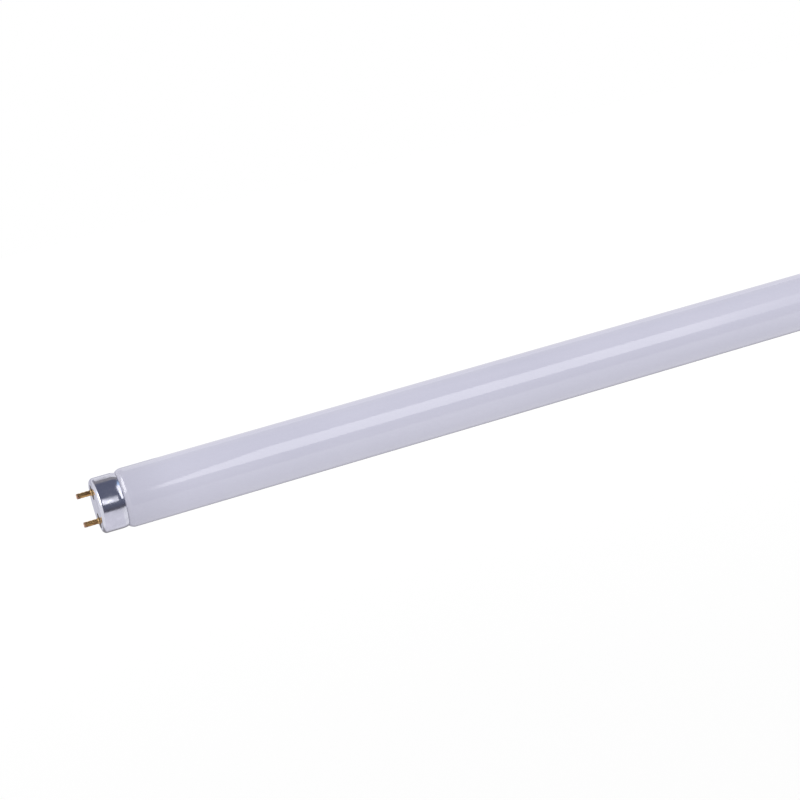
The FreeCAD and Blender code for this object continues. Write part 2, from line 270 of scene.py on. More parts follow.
# %% Turn the caps
def turn_cap():
    """Turns the shell of the right cap."""
    bm = bmesh.new()
    pen = bm.verts.new((cap_face, 0, face_flat - FACE_BAND))
    pen = held_run_to(bm, pen, cap_face, face_flat)
    pen = bend_round(bm, pen, cap_face - FACE_ROUND, face_flat, -90)
    pen = held_run_to(bm, pen, lip_start, cap_radius, parts=OUTER_PARTS)
    pen = bend_round(bm, pen, lip_start, lip_centre, -lip_bend)
    pen = run_to(bm, pen, lip_start - lip_inner * lip_sine, lip_centre + lip_inner * lip_cosine)
    pen = bend_round(bm, pen, lip_start, lip_centre, lip_bend)
    pen = run_to(bm, pen, cap_face - FACE_ROUND, cap_radius - SHELL_WALL, parts=INNER_PARTS)
    pen = bend_round(bm, pen, cap_face - FACE_ROUND, face_flat, 90)
    run_to(bm, pen, cap_face - SHELL_WALL, face_flat - FACE_BAND)
    turn(bm)
    outer_holes = fill_face(bm, cap_face)
    inner_holes = fill_face(bm, cap_face - SHELL_WALL)
    for outer, inner in zip(outer_holes, inner_holes):
        bmesh.ops.bridge_loops(bm, edges=outer + inner)
    return bm


def to_left(bm):
    """Mirrors a piece of the right end to the left end."""
    bmesh.ops.scale(bm, vec=(-1, 1, 1), verts=bm.verts)


caps = []
for end in ("left", "right"):
    cap_bm = turn_cap()
    if end == "left":
        to_left(cap_bm)
    caps.append(add_piece(f"cap_shell_{end}", cap_bm, f"end_cap_{end}"))

# %% [markdown]
# The pins. A pin is a hollow brass rivet: its foot is spread behind the insulating plate, a rolled
# collar stops it in front, and its mouth is open, because the lead wire comes out there and is cut off.
# A round-nosed tool then crimps the pin on to the wire. The pin is turned from its section. The crimps
# are pressed into the turned mesh the way the tool does it, by moving every vertex that its nose would
# reach, and a light smoothing rounds their edges.

# %% Sizes of the pins
PIN_RADIUS = 1.175 * MM
PIN_BORE = 0.3 * MM
RIVET_RADIUS = 1.9 * MM
RIVET_HEIGHT = 0.5 * MM
SHANK_LENGTH = 1.6 * MM
COLLAR_RADIUS = 1.5 * MM
COLLAR_HEIGHT = 0.8 * MM
COLLAR_ROUND = 0.4 * MM
TIP_ROUND = 0.3 * MM
MOUTH_RADIUS = 0.75 * MM
MOUTH_DEPTH = 1.3 * MM
PIN_STEPS = 72
PIN_PARTS = 72
MOUTH_PARTS = 4

rivet_end = pin_foot + RIVET_HEIGHT
shank_end = rivet_end + SHANK_LENGTH
collar_end = shank_end + COLLAR_HEIGHT
print(f"a pin stands {(pin_tip - cap_face) / MM:.1f} mm out of its cap")


# %% Helper that turns a pin
def turn_pin():
    """Turns a pin round the X axis, from its foot to its mouth and back through its bore."""
    bm = bmesh.new()
    pen = bm.verts.new((pin_foot, 0, PIN_BORE))
    pen = run_to(bm, pen, pin_foot, RIVET_RADIUS)
    pen = run_to(bm, pen, rivet_end, RIVET_RADIUS)
    pen = run_to(bm, pen, rivet_end, PIN_RADIUS)
    pen = run_to(bm, pen, shank_end, PIN_RADIUS)
    pen = run_to(bm, pen, shank_end, COLLAR_RADIUS)
    pen = run_to(bm, pen, collar_end - COLLAR_ROUND, COLLAR_RADIUS)
    pen = bend_round(bm, pen, collar_end - COLLAR_ROUND, COLLAR_RADIUS - COLLAR_ROUND, 90)
    pen = run_to(bm, pen, collar_end, PIN_RADIUS)
    pen = held_run_to(bm, pen, pin_tip - TIP_ROUND, PIN_RADIUS, parts=PIN_PARTS)
    pen = bend_round(bm, pen, pin_tip - TIP_ROUND, PIN_RADIUS - TIP_ROUND, 90)
    pen = run_to(bm, pen, pin_tip, MOUTH_RADIUS)
    pen = run_to(bm, pen, pin_tip - MOUTH_DEPTH, PIN_BORE, parts=MOUTH_PARTS)
    run_to(bm, pen, pin_foot, PIN_BORE)
    turn(bm, PIN_STEPS)
    bmesh.ops.remove_doubles(bm, verts=bm.verts, dist=MERGE)
    return bm


print("a turned pin has", PIN_STEPS, "sides")

# %% Helper that crimps a pin
CRIMP_ROUND = 0.6 * MM
CRIMP_DEPTH = 0.15 * MM
CRIMP_START = 1.43 * MM
CRIMP_SPACING = 1.74 * MM
CRIMPS = 3
SMOOTH_PASSES = 2
SMOOTH_SHARE = 0.5

crimp_nose = PIN_RADIUS + CRIMP_ROUND - CRIMP_DEPTH
crimp_places = [cap_face + CRIMP_START + CRIMP_SPACING * crimp for crimp in range(CRIMPS)]


def press_crimps(bm):
    """Presses the round nose of the crimping tool into the top and the bottom of a pin."""
    pressed = set()
    for place in crimp_places:
        for vert in bm.verts:
            off = abs(vert.co.x - place)
            if off < CRIMP_ROUND:
                depth = crimp_nose - math.sqrt(CRIMP_ROUND ** 2 - off ** 2)
                if abs(vert.co.z) > depth:
                    vert.co.z = math.copysign(depth, vert.co.z)
                    pressed.add(vert)
    for _ in range(SMOOTH_PASSES):
        bmesh.ops.smooth_vert(
            bm, verts=list(pressed), factor=SMOOTH_SHARE,
            use_axis_x=True, use_axis_y=True, use_axis_z=True,
        )
    return len(pressed)


print("crimps from the cap's face, mm:", [round((place - cap_face) / MM, 2) for place in crimp_places])

# %% Turn and crimp the pins
pins = []
for end in ("left", "right"):
    for level, up in (("upper", pin_level), ("lower", -pin_level)):
        pin_bm = turn_pin()
        count = press_crimps(pin_bm)
        bmesh.ops.translate(pin_bm, vec=(0, 0, up), verts=pin_bm.verts)
        if end == "left":
            to_left(pin_bm)
        name = f"{end}_{level}"
        pins.append(add_piece(f"crimped_pin_{name}", pin_bm, f"contact_pin_{name}"))
        print(count, "vertices pressed in by the crimps")

# %% [markdown]
# The finishes are node trees on Object coordinates, which are metres here, so a noise of scale 1000 has
# a grain of about a millimetre. Small helpers keep each tree short: they start a finish, add a node and
# fill its sockets, read a coordinate, make a stretched noise, and blend two numbers or two colours by a
# noise. A value that is the same all over goes straight on the shader.


# %% Helpers that start a finish and add nodes
def new_finish(name):
    """A new material with its node tree and its shader."""
    finish = bpy.data.materials.new(name)
    finish.use_nodes = True
    return finish, finish.node_tree, finish.node_tree.nodes["Principled BSDF"]


def fill_socket(tree, socket, value):
    """Links a socket to another one, or sets its number or colour."""
    if isinstance(value, bpy.types.NodeSocket):
        tree.links.new(value, socket)
    else:
        socket.default_value = value


def add_node(tree, kind, sockets, output=0, **settings):
    """Adds a node, fills its sockets and returns one of its outputs."""
    node = tree.nodes.new("ShaderNode" + kind)
    for setting, value in settings.items():
        setattr(node, setting, value)
    for socket, value in sockets.items():
        fill_socket(tree, node.inputs[socket], value)
    return node.outputs[output]


def dress(finish, *pieces):
    """Gives pieces a finish, in place of what they had."""
    for piece in pieces:
        piece.data.materials.clear()
        piece.data.materials.append(finish)
    print(finish.name, "on", len(pieces), "pieces,", len(finish.node_tree.nodes), "nodes")


print("node helpers are ready")

# %% Helpers for places, noise and colours
NOISE_LOW = 0.3
NOISE_HIGH = 0.7
MIX_FIRST = 6
MIX_SECOND = 7
MIX_RESULT = 2


def object_place(tree):
    """The place on the lamp, in metres."""
    return add_node(tree, "TexCoord", {}, output="Object")


def coordinate(tree, axis):
    """One coordinate of the place on the lamp, in metres."""
    return add_node(tree, "SeparateXYZ", {0: object_place(tree)}, output=axis)


def off_middle(tree):
    """How far along the lamp a place is from the middle, which is the same at both ends."""
    return add_node(tree, "Math", {0: coordinate(tree, "X")}, operation="ABSOLUTE")


def grain(tree, scale, stretch=(1, 1, 1), detail=2.0):
    """Noise with a grain of about one part in scale of a metre, stretched where a number is under 1."""
    place = add_node(tree, "Mapping", {"Vector": object_place(tree), "Scale": stretch})
    return add_node(tree, "TexNoise", {"Vector": place, "Scale": scale, "Detail": detail})


def blend(tree, factor, low, high):
    """A number that goes from low to high as the factor goes from the low to the high end of a noise."""
    return add_node(
        tree, "MapRange",
        {"Value": factor, "From Min": NOISE_LOW, "From Max": NOISE_HIGH, "To Min": low, "To Max": high},
    )


def two_tone(tree, factor, first, second, start=NOISE_LOW, stop=NOISE_HIGH):
    """A colour that goes from the first to the second as the factor goes from start to stop."""
    ramp = tree.nodes.new("ShaderNodeValToRGB")
    fill_socket(tree, ramp.inputs["Fac"], factor)
    for element, place, colour in zip(ramp.color_ramp.elements, (start, stop), (first, second)):
        element.position = place
        element.color = (*colour, 1)
    return ramp.outputs["Color"]


def mix_colours(tree, factor, first, second, blend_type="MIX"):
    """The first colour mixed with the second by a factor. A Mix node knows its colour sockets by number."""
    return add_node(
        tree, "Mix", {"Factor": factor, MIX_FIRST: first, MIX_SECOND: second},
        output=MIX_RESULT, data_type="RGBA", blend_type=blend_type,
    )


print("a noise runs from about", NOISE_LOW, "to", NOISE_HIGH)

# %% [markdown]
# The coated glass. What looks like white paint is a powder on the inside of clear glass: a matte coat,
# seen through a smooth gloss. A Principled shader does both at once, with a matte base and a clear coat
# on top of it. The powder is washed through the tube as a slurry, so it has a fine grain, faint runs
# along the tube and wide clouds, and its colour darkens a little towards the ends. Drawn glass is
# never quite flat, so the gloss gets long, very shallow waves.

# %% Powder coat
POWDER_WHITE = (0.603, 0.598, 0.712)
POWDER_GREY = (0.563, 0.560, 0.675)
POWDER_GRAIN = 1400
RUN_GRAIN = 160
RUN_STRETCH = (0.06, 1, 1)
CLOUD_GRAIN = 22
MOTTLE_START = 0.35
MOTTLE_STOP = 0.65
END_GREY = (0.89, 0.89, 0.895)
END_SHADE_FROM = 0.408
coated_glass, tree, shader = new_finish("coated_glass_finish")
noises = [
    grain(tree, POWDER_GRAIN, detail=4.0),
    grain(tree, RUN_GRAIN, stretch=RUN_STRETCH),
    grain(tree, CLOUD_GRAIN),
]
mottle = add_node(tree, "Math", {0: noises[0], 1: noises[1]}, operation="ADD")
mottle = add_node(tree, "Math", {0: mottle, 1: noises[2]}, operation="ADD")
mottle = add_node(tree, "Math", {0: mottle, 1: float(len(noises))}, operation="DIVIDE")
coat = two_tone(tree, mottle, POWDER_GREY, POWDER_WHITE, MOTTLE_START, MOTTLE_STOP)
end_share = add_node(
    tree, "MapRange", {"Value": off_middle(tree), "From Min": END_SHADE_FROM, "From Max": shoulder_start},
    interpolation_type="SMOOTHSTEP",
)
end_tint = two_tone(tree, end_share, (1, 1, 1), END_GREY, 0.0, 1.0)
coat = mix_colours(tree, 1.0, coat, end_tint, blend_type="MULTIPLY")
fill_socket(tree, shader.inputs["Base Color"], coat)
print(f"the coat greys over the last {(shoulder_start - END_SHADE_FROM) / MM:.0f} mm before the shoulder")

# %% Gloss of the glass
WAVE_GRAIN = 60
WAVE_STRETCH = (0.12, 1, 1)
WAVE_DEPTH = 0.02 * MM
WAVE_STRENGTH = 0.25
POWDER_ROUGHNESS = 0.75
GLOSS_ROUGHNESS = 0.03
GLASS_IOR = 1.5
waves = grain(tree, WAVE_GRAIN, stretch=WAVE_STRETCH)
wavy = add_node(tree, "Bump", {"Height": waves, "Strength": WAVE_STRENGTH, "Distance": WAVE_DEPTH})
fill_socket(tree, shader.inputs["Coat Normal"], wavy)
shader.inputs["Roughness"].default_value = POWDER_ROUGHNESS
shader.inputs["Specular IOR Level"].default_value = 0.0
shader.inputs["Coat Weight"].default_value = 1.0
shader.inputs["Coat Roughness"].default_value = GLOSS_ROUGHNESS
shader.inputs["Coat IOR"].default_value = GLASS_IOR
dress(coated_glass, glass)

# %% [markdown]
# Drawn aluminium. The caps are bright but not mirrors: the draw leaves fine lines round the cup,
# handling leaves a haze, and thin sheet is never quite true, so reflections waver. Noise that is
# stretched round the cap would need a coordinate that goes round with it. Noise squeezed hard along X
# does the same here, because every cap is turned about X: it changes quickly along the cap and slowly
# round it.

# %% Drawn aluminium
ALUMINIUM_BRIGHT = (0.670, 0.670, 0.762)
ALUMINIUM_HAZE = (0.575, 0.577, 0.663)
BRIGHT_ROUGHNESS = 0.08
HAZE_ROUGHNESS = 0.24
LINE_GRAIN = 180
LINE_SQUEEZE = (40, 1, 1)
LINE_DEPTH = 0.004 * MM
LINE_STRENGTH = 0.25
HAZE_GRAIN = 260
WAVER_GRAIN = 130
WAVER_DEPTH = 0.06 * MM
WAVER_STRENGTH = 0.5
drawn_aluminium, tree, shader = new_finish("drawn_aluminium_finish")
lines = grain(tree, LINE_GRAIN, stretch=LINE_SQUEEZE, detail=3.0)
haze = grain(tree, HAZE_GRAIN, detail=4.0)
waver = grain(tree, WAVER_GRAIN)
fill_socket(tree, shader.inputs["Base Color"], two_tone(tree, haze, ALUMINIUM_BRIGHT, ALUMINIUM_HAZE))
fill_socket(tree, shader.inputs["Roughness"], blend(tree, haze, BRIGHT_ROUGHNESS, HAZE_ROUGHNESS))
drawn = add_node(tree, "Bump", {"Height": lines, "Strength": LINE_STRENGTH, "Distance": LINE_DEPTH})
wavered = add_node(
    tree, "Bump", {"Height": waver, "Strength": WAVER_STRENGTH, "Distance": WAVER_DEPTH, "Normal": drawn},
)
fill_socket(tree, shader.inputs["Normal"], wavered)
shader.inputs["Metallic"].default_value = 1.0
dress(drawn_aluminium, *caps)

# %% [markdown]
# Brass. The pins are plated bright and then crimped, soldered and handled, so the brass is patchy. It
# stays golden on top and at the collar, is painted darker brown towards the underside as painted shade,
# and pales to copper at the mouth, where the heat was. The height on the pin gives this painted shade,
# and a noise that is drawn out along the pin breaks its edge up into the patches of wear.

# %% Worn brass, with painted shade below
BRASS_CLEAN = (0.77, 0.48, 0.19)
BRASS_DULL_AND_SHADE = (0.23, 0.120, 0.055)
PATCH_GRAIN = 560
PATCH_STRETCH = (0.35, 1, 1)
SHADE_BELOW = 0.20
SHADE_ABOVE = -0.14
WEAR_AND_SHADE_START = 0.40
WEAR_AND_SHADE_STOP = 0.66
crimped_brass, tree, shader = new_finish("crimped_brass_finish")
patches = grain(tree, PATCH_GRAIN, stretch=PATCH_STRETCH, detail=1.0)
up = coordinate(tree, "Z")
side = add_node(tree, "Math", {0: up}, operation="SIGN")
middle = add_node(tree, "Math", {0: side, 1: pin_level}, operation="MULTIPLY")
off = add_node(tree, "Math", {0: up, 1: middle}, operation="SUBTRACT")
# Painted shade: each pin is darkened towards its underside by the height on the pin, and this is added to
# the wear patches.
underside_shade = add_node(
    tree, "MapRange",
    {
        "Value": off, "From Min": -PIN_RADIUS, "From Max": PIN_RADIUS,
        "To Min": SHADE_BELOW, "To Max": SHADE_ABOVE,
    },
)
wear_and_underside_shade = add_node(tree, "Math", {0: patches, 1: underside_shade}, operation="ADD")
brass = two_tone(tree, wear_and_underside_shade, BRASS_CLEAN, BRASS_DULL_AND_SHADE, WEAR_AND_SHADE_START, WEAR_AND_SHADE_STOP)
print("patches on the pins are about", round(1 / (PATCH_GRAIN * MM), 1), "mm across")

# %% Heat at the mouth, clean collar and gloss
BRASS_HEATED = (0.52, 0.33, 0.26)
BRASS_COLLAR = (0.62, 0.44, 0.23)
HEAT_LENGTH = 1.2 * MM
HEAT_SHARE = 0.8
COLLAR_SHARE = 0.7
CLEAN_ROUGHNESS = 0.26
DULL_ROUGHNESS = 0.44
DENT_GRAIN = 1500
DENT_DEPTH = 0.03 * MM
DENT_STRENGTH = 0.10
along = off_middle(tree)
heat = add_node(
    tree, "MapRange",
    {"Value": along, "From Min": pin_tip - HEAT_LENGTH, "From Max": pin_tip, "To Max": HEAT_SHARE},
)
brass = mix_colours(tree, heat, brass, (*BRASS_HEATED, 1))
collar = add_node(
    tree, "MapRange",
    {
        "Value": along, "From Min": collar_end, "From Max": collar_end + COLLAR_ROUND,
        "To Min": COLLAR_SHARE, "To Max": 0.0,
    },
)
brass = mix_colours(tree, collar, brass, (*BRASS_COLLAR, 1))
dents = grain(tree, DENT_GRAIN, detail=1.0)
dented = add_node(tree, "Bump", {"Height": dents, "Strength": DENT_STRENGTH, "Distance": DENT_DEPTH})
fill_socket(tree, shader.inputs["Base Color"], brass)
fill_socket(tree, shader.inputs["Roughness"], blend(tree, wear_and_underside_shade, CLEAN_ROUGHNESS, DULL_ROUGHNESS))
fill_socket(tree, shader.inputs["Normal"], dented)
shader.inputs["Metallic"].default_value = 1.0
dress(crimped_brass, *pins)

# %% [markdown]
# Three pieces hardly show, and their solids are right as they are, so the CAD nodes stay and only get a
# finish. The insulating plate is pressed from phenolic board, dark brown with paler fibres. The lead
# wires are copper-clad, dulled by the sealing flame. The basing cement is resin and marble flour, baked
# to a dull tan.

# %% Pressed phenolic
PHENOLIC_BROWN = (0.035, 0.026, 0.020)
PHENOLIC_FIBRE = (0.115, 0.082, 0.058)
FIBRE_GRAIN = 1500
FIBRE_STRETCH = (1, 0.3, 1)
PHENOLIC_ROUGHNESS = (0.45, 0.65)
pressed_phenolic, tree, shader = new_finish("pressed_phenolic_finish")
fibres = grain(tree, FIBRE_GRAIN, stretch=FIBRE_STRETCH, detail=3.0)
fill_socket(tree, shader.inputs["Base Color"], two_tone(tree, fibres, PHENOLIC_BROWN, PHENOLIC_FIBRE))
fill_socket(tree, shader.inputs["Roughness"], blend(tree, fibres, *PHENOLIC_ROUGHNESS))
dress(pressed_phenolic, nodes["pin_plate_left"], nodes["pin_plate_right"])

# %% Copper wire
COPPER_BRIGHT = (0.83, 0.47, 0.35)
COPPER_DULL = (0.42, 0.20, 0.13)
OXIDE_GRAIN = 2500
OXIDE_STRETCH = (0.4, 1, 1)
COPPER_ROUGHNESS = (0.25, 0.5)
copper_wire, tree, shader = new_finish("copper_wire_finish")
oxide = grain(tree, OXIDE_GRAIN, stretch=OXIDE_STRETCH, detail=3.0)
fill_socket(tree, shader.inputs["Base Color"], two_tone(tree, oxide, COPPER_BRIGHT, COPPER_DULL))
fill_socket(tree, shader.inputs["Roughness"], blend(tree, oxide, *COPPER_ROUGHNESS))
shader.inputs["Metallic"].default_value = 1.0
dress(copper_wire, *[piece for name, piece in sorted(nodes.items()) if name.startswith("lead_wire")])

# %% Baked cement
CEMENT_DARK = (0.40, 0.33, 0.24)
CEMENT_PALE = (0.58, 0.51, 0.41)
FLOUR_GRAIN = 2200
GRIT_DEPTH = 0.05 * MM
GRIT_STRENGTH = 0.6
CEMENT_ROUGHNESS = 0.9
baked_cement, tree, shader = new_finish("baked_cement_finish")
flour = grain(tree, FLOUR_GRAIN, detail=5.0)
gritty = add_node(tree, "Bump", {"Height": flour, "Strength": GRIT_STRENGTH, "Distance": GRIT_DEPTH})
fill_socket(tree, shader.inputs["Base Color"], two_tone(tree, flour, CEMENT_DARK, CEMENT_PALE))
fill_socket(tree, shader.inputs["Normal"], gritty)
shader.inputs["Roughness"].default_value = CEMENT_ROUGHNESS
dress(baked_cement, nodes["cap_cement_left"], nodes["cap_cement_right"])

# %% [markdown]
# The camera stands where the photograph was taken from: a little above the lamp and off its left end,
# far enough away for a long lens, and rolled, so that the tube climbs to the right. Its place and roll
# were worked out from the outline of the tube and from the pins.

# %% Camera
CAMERA_PLACE = Vector((-0.5389, -0.8226, 0.1704))
CAMERA_AIM = Vector((-0.3057, 0, 0.00794))
CAMERA_ROLL = -13.02
PHOTO_PIXELS = 800
FOCAL_PIXELS = 1962
SENSOR_WIDTH = 36
NEAREST_SEEN = 0.01
camera_data = bpy.data.cameras.new("photo_camera")
camera_data.sensor_width = SENSOR_WIDTH
camera_data.lens = FOCAL_PIXELS * SENSOR_WIDTH / PHOTO_PIXELS
camera_data.clip_start = NEAREST_SEEN
camera = bpy.data.objects.new("photo_camera", camera_data)
bpy.context.scene.collection.objects.link(camera)
level = (CAMERA_AIM - CAMERA_PLACE).to_track_quat("-Z", "Y")
camera.rotation_mode = "QUATERNION"
camera.rotation_quaternion = level @ Quaternion((0, 0, 1), math.radians(CAMERA_ROLL))
camera.location = CAMERA_PLACE
bpy.context.scene.camera = camera
print(f"lens {camera_data.lens:.2f} mm")

# %% [markdown]
# The room is white, as in a studio cut-out. The world lights the lamp evenly from all sides, a little
# below white. Where the camera, a reflection or a view through glass meets the world itself, Light Path
# makes it plain white. The lamp is held by its pins as in a fitting, so the floor lies well below it and
# takes only a faint, soft shadow. A little light of its own, which grows with the distance, keeps the
# floor white to its edges.

# %% World
WORLD_LIGHT = 0.92
WHITE = (1, 1, 1, 1)


def seen_directly(tree):
    """1 for what the camera, a reflection or a view through glass meets, and 0 for scattered light."""
    path = tree.nodes.new("ShaderNodeLightPath")
    seen = path.outputs["Is Camera Ray"]
    for ray in ("Is Glossy Ray", "Is Transmission Ray"):
        seen = add_node(tree, "Math", {0: seen, 1: path.outputs[ray]}, operation="MAXIMUM")
    return seen


bpy.context.scene.view_settings.view_transform = "Standard"
world = bpy.data.worlds.new("white_room")
world.use_nodes = True
bpy.context.scene.world = world
tree = world.node_tree
strength = add_node(tree, "MapRange", {"Value": seen_directly(tree), "To Min": WORLD_LIGHT, "To Max": 1.0})
fill_socket(tree, tree.nodes["Background"].inputs["Color"], WHITE)
fill_socket(tree, tree.nodes["Background"].inputs["Strength"], strength)
print("world light", WORLD_LIGHT)

# %% Floor
FLOOR_LEVEL = -0.75
FLOOR_SIZE = 12.0
floor_bm = bmesh.new()
bmesh.ops.create_grid(floor_bm, x_segments=1, y_segments=1, size=FLOOR_SIZE)
bmesh.ops.translate(floor_bm, vec=(0, 0, FLOOR_LEVEL), verts=floor_bm.verts)
floor_mesh = bpy.data.meshes.new("floor")
floor_bm.to_mesh(floor_mesh)
floor_bm.free()
floor = bpy.data.objects.new("floor", floor_mesh)
bpy.context.scene.collection.objects.link(floor)
print("floor", -FLOOR_LEVEL, "m below the lamp")

# %% Floor paint
FLOOR_PAINT = 0.85
LIFT_NEAR = 0.16
LIFT_FAR = 0.28
LIFT_STARTS = 0.8
LIFT_STOPS = 5.0
floor_paint, tree, shader = new_finish("floor_paint")
distance = add_node(tree, "VectorMath", {0: object_place(tree)}, output="Value", operation="LENGTH")
lift = add_node(
    tree, "MapRange",
    {
        "Value": distance, "From Min": LIFT_STARTS, "From Max": LIFT_STOPS,
        "To Min": LIFT_NEAR, "To Max": LIFT_FAR,
    },
)
lift = add_node(tree, "Math", {0: seen_directly(tree), 1: lift}, operation="MULTIPLY")
fill_socket(tree, shader.inputs["Emission Strength"], lift)
shader.inputs["Emission Color"].default_value = WHITE
shader.inputs["Base Color"].default_value = (FLOOR_PAINT, FLOOR_PAINT, FLOOR_PAINT, 1)
shader.inputs["Roughness"].default_value = 1.0
shader.inputs["Specular IOR Level"].default_value = 0.0
dress(floor_paint, floor)

# %% [markdown]
# Bright metal is only as good as what it reflects. The cap shows the studio round it: white above and
# below, a dark room in front with a window in it, and a bright screen at each side. Curved cards stand
# in for these. Each is part of a drum about the lamp's axis, so that its reflection runs straight along
# the lamp, and glows in bands of colour. Only reflections see the cards, so they take no light from the
# lamp and throw none on it. A card that is meant for some pieces alone is a veil: light linking lets it
# glow for them, on the side that faces the lamp's axis, and all other pieces see through it.

# %% Helpers that bend a card
CARD_ROUND = 1.5
CARD_GAP = 0.02
CARD_STEP = 2.0
NEAR_REACH = CARD_ROUND - CARD_GAP


def on_drum(along, degrees, reach):
    """The place on a drum about the lamp, at an angle that is 0 in front and 90 above."""
    angle = math.radians(degrees)
    return Vector((along, -reach * math.cos(angle), reach * math.sin(angle)))


def bend_card(start, stop, low, high, reach=CARD_ROUND, stop_reach=None):
    """A sheet from start to stop along X, bent round the lamp from the low to the high angle.

    It is part of a drum, or of a cone where it stops at another reach.
    """
    bm = bmesh.new()
    corner = bm.verts.new(on_drum(start, low, reach))
    far = bmesh.ops.extrude_vert_indiv(bm, verts=[corner])["verts"][0]
    far.co = on_drum(stop, low, stop_reach or reach)
    bmesh.ops.spin(
        bm, geom=[corner, far, *far.link_edges], cent=(0, 0, 0), axis=(1, 0, 0),
        angle=-math.radians(high - low), steps=round((high - low) / CARD_STEP),
    )
    return bm


print("cards bend round the lamp at", CARD_ROUND, "m, unless they are given another reach")


# %% Helpers that measure a place on a card
def angle_round(tree):
    """The angle round the lamp in degrees, 0 in front and 90 above."""
    front = add_node(tree, "Math", {0: coordinate(tree, "Y"), 1: -1.0}, operation="MULTIPLY")
    angle = add_node(tree, "Math", {0: coordinate(tree, "Z"), 1: front}, operation="ARCTAN2")
    return add_node(tree, "Math", {0: angle}, operation="DEGREES")


def place_along(tree):
    """The place along the lamp, in metres."""
    return coordinate(tree, "X")


def one_colour(colour):
    """The bands of a card that has the same colour all over."""
    return ((0, colour), (1, colour))


print("cards are coloured by the angle round the lamp or by the place along it")


# %% Helpers that make a card glow and hang it
def glowing(name, measure, bands, veil):
    """A card's paint, which glows in colours that run on from place to place.

    A veil is clear too, and glows only on the back of its faces, the side towards the lamp's axis.
    """
    paint = bpy.data.materials.new(name)
    paint.use_nodes = True
    tree = paint.node_tree
    tree.nodes.remove(tree.nodes["Principled BSDF"])
    ramp = tree.nodes.new("ShaderNodeValToRGB")
    first, last = bands[0][0], bands[-1][0]
    share = add_node(tree, "MapRange", {"Value": measure(tree), "From Min": first, "From Max": last})
    fill_socket(tree, ramp.inputs["Fac"], share)
    stops = ramp.color_ramp.elements
    while len(stops) < len(bands):
        stops.new(0.5)
    for stop, (place, colour) in zip(stops, bands):
        stop.position = (place - first) / (last - first)
        stop.color = (*colour, 1)
    strength = add_node(tree, "NewGeometry", {}, output="Backfacing") if veil else 1.0
    light = add_node(tree, "Emission", {"Color": ramp.outputs["Color"], "Strength": strength})
    if veil:
        light = add_node(tree, "AddShader", {0: light, 1: add_node(tree, "BsdfTransparent", {})})
    fill_socket(tree, tree.nodes["Material Output"].inputs["Surface"], light)
    return paint


def hang_card(name, bm, measure, bands, only_for=()):
    """Makes a bent sheet a card of the stage that only reflections see, or only those of some pieces."""
    mesh = bpy.data.meshes.new(name)
    bm.to_mesh(mesh)
    bm.free()
    card = bpy.data.objects.new(name, mesh)
    bpy.context.scene.collection.objects.link(card)
    for ray in ("camera", "diffuse", "transmission", "volume_scatter", "shadow"):
        setattr(card, "visible_" + ray, False)
    dress(glowing(name + "_paint", measure, bands, veil=bool(only_for)), card)
    if only_for:
        lit = bpy.data.collections.new(name + "_lights")
        for piece in only_for:
            lit.objects.link(piece)
        card.light_linking.receiver_collection = lit


print("card helpers are ready")

# %% Dark room and its window
DARK = (0.145, 0.158, 0.215)
GREY = (0.335, 0.325, 0.335)
WALL = (0.65, 0.65, 0.72)
BROWN = (0.086, 0.080, 0.096)
WINDOW = (2.6, 2.6, 2.6)
ROOM_LEFT = -1.05
ROOM_LOW = -25
ROOM_HIGH = 128
FLAG_HIGH = 150
WINDOW_LOW = 8.5
WINDOW_HIGH = 35
hang_card(
    "room_card", bend_card(start=ROOM_LEFT, stop=2.4, low=ROOM_LOW, high=ROOM_HIGH), angle_round,
    ((ROOM_LOW, BROWN), (0, DARK), (107, DARK), (110, GREY), (ROOM_HIGH, GREY)),
)
hang_card(
    "flag_card", bend_card(start=ROOM_LEFT, stop=-0.283, low=ROOM_HIGH, high=FLAG_HIGH), angle_round,
    ((ROOM_HIGH, GREY), (FLAG_HIGH, WALL)),
)
window_bm = bend_card(start=-0.36, stop=-0.25, low=WINDOW_LOW, high=WINDOW_HIGH, reach=NEAR_REACH)
hang_card(
    "window_card", window_bm, angle_round,
    ((WINDOW_LOW, DARK), (10, WINDOW), (18, WINDOW), (WINDOW_HIGH, DARK)),
)

# %% [markdown]
# The screen on the left gives the white line on the rounded edge of the cap's face. The tube would show
# this screen too, so it is a veil for the metal. Glass reflects far less than metal, so a small, much
# brighter veil gives the soft gleam on the tube's shoulder. It is part of a cone that opens away from
# the tube, close in front of the cap and above it: the shoulder looks into it, and the straight part of
# the tube sees only its outside, which is clear.

# %% Screens on the left
LEFT_GLOW = (3.0, 3.0, 3.0)
GLASS_GLOW = (7.5, 7.5, 7.5)
BLACK = (0.0, 0.0, 0.0)
SKY = (0.45, 0.66, 0.90)
LEFT_LOW = 14
LEFT_HIGH = 86
CONE_LEFT = -0.475
CONE_RIGHT = -0.4355
CONE_LEFT_REACH = 0.0343
CONE_RIGHT_REACH = 0.0146
CONE_LOW = 22
CONE_HIGH = 74
hang_card(
    "left_screen", bend_card(start=-3.0, stop=-1.2, low=LEFT_LOW, high=LEFT_HIGH), angle_round,
    ((LEFT_LOW, LEFT_GLOW), (60, LEFT_GLOW), (72, SKY), (LEFT_HIGH, DARK)), only_for=caps + pins,
)
cone_bm = bend_card(CONE_LEFT, CONE_RIGHT, CONE_LOW, CONE_HIGH, CONE_LEFT_REACH, CONE_RIGHT_REACH)
hang_card(
    "shoulder_screen", cone_bm, angle_round,
    ((CONE_LOW, BLACK), (32, GLASS_GLOW), (60, GLASS_GLOW), (CONE_HIGH, BLACK)), only_for=[glass],
)

# %% [markdown]
# A grey wall behind keeps the flat face of the cap, which is seen almost edge-on, from turning white,
# and the wall further along the tube is paler. A pale card below stands for the table. Its rear edge is
# in shade, and that grey edge draws the thin dark line along the underside of the cap and the tube.

